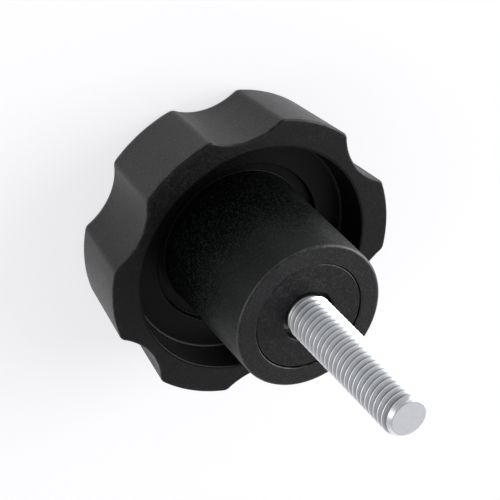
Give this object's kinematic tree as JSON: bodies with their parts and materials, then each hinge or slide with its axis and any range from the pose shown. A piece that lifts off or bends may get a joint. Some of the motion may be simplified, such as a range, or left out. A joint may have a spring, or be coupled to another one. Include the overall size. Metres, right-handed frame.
{
  "type": "clover knob with threaded stud",
  "caption": "Lobed hand knob moulded in black plastic, with a cored rim side and a long round boss that holds a zinc-plated threaded stud.",
  "frame": {"origin": "centre of the head's flat face, on the axis of the stud", "axes": "+Z along the axis of the stud, towards its tip; +X through the middle of one lobe"},
  "size_m": [0.0532, 0.0512, 0.0663],
  "materials": {
    "body_plastic": "black moulded plastic, spark-eroded grain on the grip",
    "plug_plastic": "black moulded plastic, smooth",
    "zinc_steel": "bright zinc-plated steel"
  },
  "bodies": {
    "root": {"knob_body": "body_plastic", "retaining_plug": "plug_plastic", "threaded_stud": "zinc_steel"}
  },
  "joints": []
}
